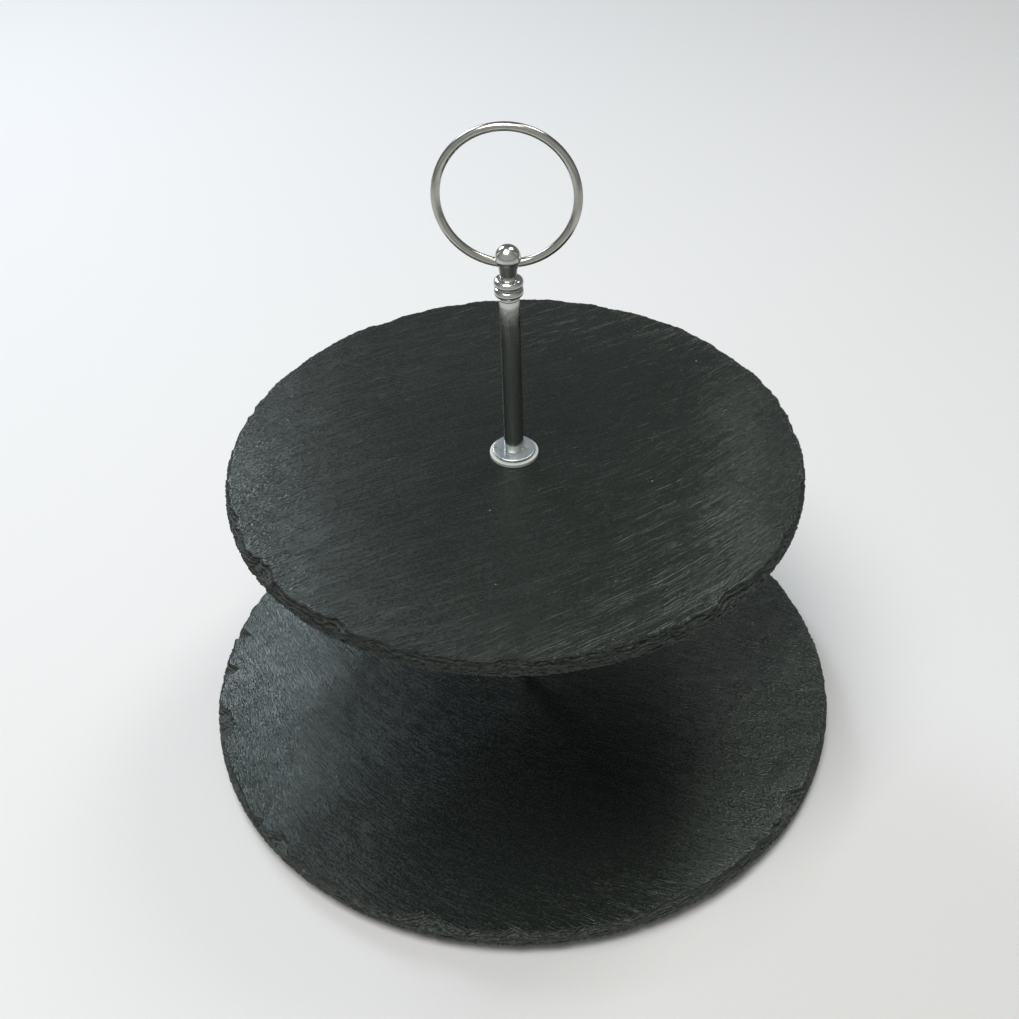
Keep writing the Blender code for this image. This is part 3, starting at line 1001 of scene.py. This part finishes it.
def room():
    """A dim grey room, paler overhead and on the camera's side."""
    world = bpy.data.worlds.new("room")
    bpy.context.scene.world = world
    world.use_nodes = True
    tree = world.node_tree
    place = tree.nodes.new("ShaderNodeTexCoord")
    split = tree.nodes.new("ShaderNodeSeparateXYZ")
    ramp = tree.nodes.new("ShaderNodeValToRGB")
    tree.links.new(place.outputs["Generated"], split.inputs[0])
    tree.links.new(split.outputs["Z"], ramp.inputs["Fac"])
    levels = ((0.0, 0.22), (0.2, 0.2), (0.42, 0.19), (0.75, 0.15), (0.95, 0.3))
    while len(ramp.color_ramp.elements) < len(levels):
        ramp.color_ramp.elements.new(0.5)
    for stop, (position, grey) in zip(ramp.color_ramp.elements, levels):
        stop.position = position
        stop.color = (grey, grey, grey, 1.0)
    glow = tree.nodes.new("ShaderNodeMapRange")
    glow.inputs["From Min"].default_value = 0.15
    glow.inputs["From Max"].default_value = -0.6
    glow.inputs["To Max"].default_value = 0.3
    tree.links.new(split.outputs["Y"], glow.inputs["Value"])
    total = tree.nodes.new("ShaderNodeVectorMath")
    tree.links.new(ramp.outputs["Color"], total.inputs[0])
    tree.links.new(glow.outputs["Result"], total.inputs[1])
    tree.links.new(total.outputs["Vector"], tree.nodes["Background"].inputs["Color"])


def studio():
    """Floor, room and three soft boxes."""
    paper_floor()
    room()
    # Degrees of azimuth and elevation, metres of distance and size, watts and colour
    area_light("key", -150, 72, 1.6, (0.9, 0.9), 26, (1.0, 0.99, 0.96))
    area_light("left_window", -41, 31, 1.5, (0.45, 0.6), 11.4, (0.81, 0.89, 1.0))
    area_light("right_window", 41, 58, 1.6, (0.4, 0.6), 6.8, (0.97, 1.0, 0.97))
    bpy.context.scene.view_settings.view_transform = "Standard"


def camera():
    """The photograph's view: about 40 degrees down, the camera rolled a little clockwise."""
    data = bpy.data.cameras.new("camera")
    data.lens = CAMERA_LENS
    data.shift_x = CAMERA_SHIFT_X
    data.shift_y = CAMERA_SHIFT_Y
    data.clip_start = 0.05
    data.clip_end = 60.0
    shooter = bpy.data.objects.new("camera", data)
    aim = Vector((0, 0, heights("upper_slate")[1] - CAMERA_AIM_BELOW_TIER))
    back = spherical(math.pi - CAMERA_AZIMUTH, CAMERA_ELEVATION)
    shooter.location = aim + back * CAMERA_DISTANCE
    turn = (-back).to_track_quat("-Z", "Y").to_matrix()
    shooter.rotation_euler = (turn @ Matrix.Rotation(CAMERA_ROLL, 3, "Z")).to_euler()
    bpy.context.scene.collection.objects.link(shooter)
    bpy.context.scene.camera = shooter


# ---------------------------------------------------------------- the stand

camera()
studio()

chrome = metal_finish("chrome", (0.60, 0.61, 0.585), (0.45, 0.45, 0.42), (0.10, 0.22), 0.05)
drawn = metal_finish("drawn_chrome", (0.58, 0.595, 0.57), (0.44, 0.44, 0.41), (0.11, 0.19), 0.03, 0.25)
wire = metal_finish("wire_chrome", (0.47, 0.47, 0.43), (0.33, 0.325, 0.29), (0.14, 0.24), 1.0, 0.4)
satin = metal_finish("satin_chrome", (0.68, 0.75, 0.77), (0.54, 0.58, 0.59), (0.26, 0.4), 1.0)
zinc = metal_finish("zinc_steel", (0.62, 0.63, 0.64), (0.42, 0.42, 0.42), (0.26, 0.42), 0.2)
nylon = nylon_finish()
rubber = rubber_finish()

upper_stone = Stone(
    level="upper",
    seed=11,
    grain=(0.52, 1.3, 42.0),
    calm_spot=(0.055, -0.015),
    fineness=1.0,
    streak=0.07,
    bump_depth=0.40 * MM,
    glints=0.9,
    fresh_dark=(0.0045, 0.0055, 0.005),
    fresh_pale=(0.016, 0.018, 0.0165),
    ior=1.50,
    ripple_height=0.011 * MM,
    bites=[
        (-141, 13, 4.6, 5.6), (-119, 9, 4.4, 5.4), (-102, 12, 2.6, 4.4), (-86, 9, 3.2, 4.8),
        (-62, 8, 2.6, 5.2), (-42, 12, 4.0, 5.6), (-157, 8, 3.6, 4.8), (12, 9, 2.6, 5.0),
        (48, 12, 1.5, 4.6), (97, 10, 0.9, 4.4), (140, 13, 1.0, 4.6),
    ],
)
lower_stone = Stone(
    level="lower",
    seed=23,
    grain=(-0.36, 4.2, -39.0),
    calm_spot=(-0.03, -0.05),
    fineness=1.35,
    streak=0.13,
    bump_depth=0.22 * MM,
    glints=0.2,
    fresh_dark=(0.0065, 0.0075, 0.007),
    fresh_pale=(0.032, 0.035, 0.032),
    ior=1.55,
    ripple_height=0.009 * MM,
    bites=[
        (173, 4, 7.4, 5.0), (183, 5, 8.4, 5.4), (196, 12, 7.6, 5.6), (-133, 9, 5.2, 5.2),
        (-102, 12, 5.4, 5.6), (-86, 8, 3.4, 5.0), (-75, 5, 2.6, 4.4), (-29, 9, 6.2, 5.6),
        (4, 8, 3.8, 5.0), (52, 12, 4.6, 5.4), (100, 10, 3.8, 5.2), (138, 9, 4.4, 5.0),
    ],
)
for stone in (upper_stone, lower_stone):
    slate_piece(stone, slate_finish(stone))

washer_bodies = {
    "seat": ("lower_pillar", "lower_pillar"),
    "upper": ("upper_tier", "clamp_washer"),
    "base": ("lower_tier", "lower_tier"),
}
for level, (nylon_body, steel_body) in washer_bodies.items():
    faces_up = level == "upper"
    nylon_washer(level + "_nylon_washer", nylon_body, nylon, faces_up)
    steel_washer(level + "_steel_washer", steel_body, satin, faces_up)

tube_piece("lower_tube", "lower_pillar", drawn, (CONTACT, CONTACT))
tube_piece("upper_tube", "handle_column", drawn, (CONTACT, CONTACT / 2))
for node, body in (("lower_bottom_insert", "lower_pillar"), ("lower_top_insert", "lower_pillar"),
                   ("upper_bottom_insert", "handle_column"), ("upper_top_insert", "handle_column")):
    insert_piece(node, body, zinc)
stud_piece("joining_stud", "lower_pillar", zinc)
stud_piece("finial_stud", "handle_column", zinc)
base_screw_piece(zinc)
finial_piece(chrome)
ring_piece(wire)
for i in range(4):
    foot_piece("foot_pad_%d" % (i + 1), rubber)
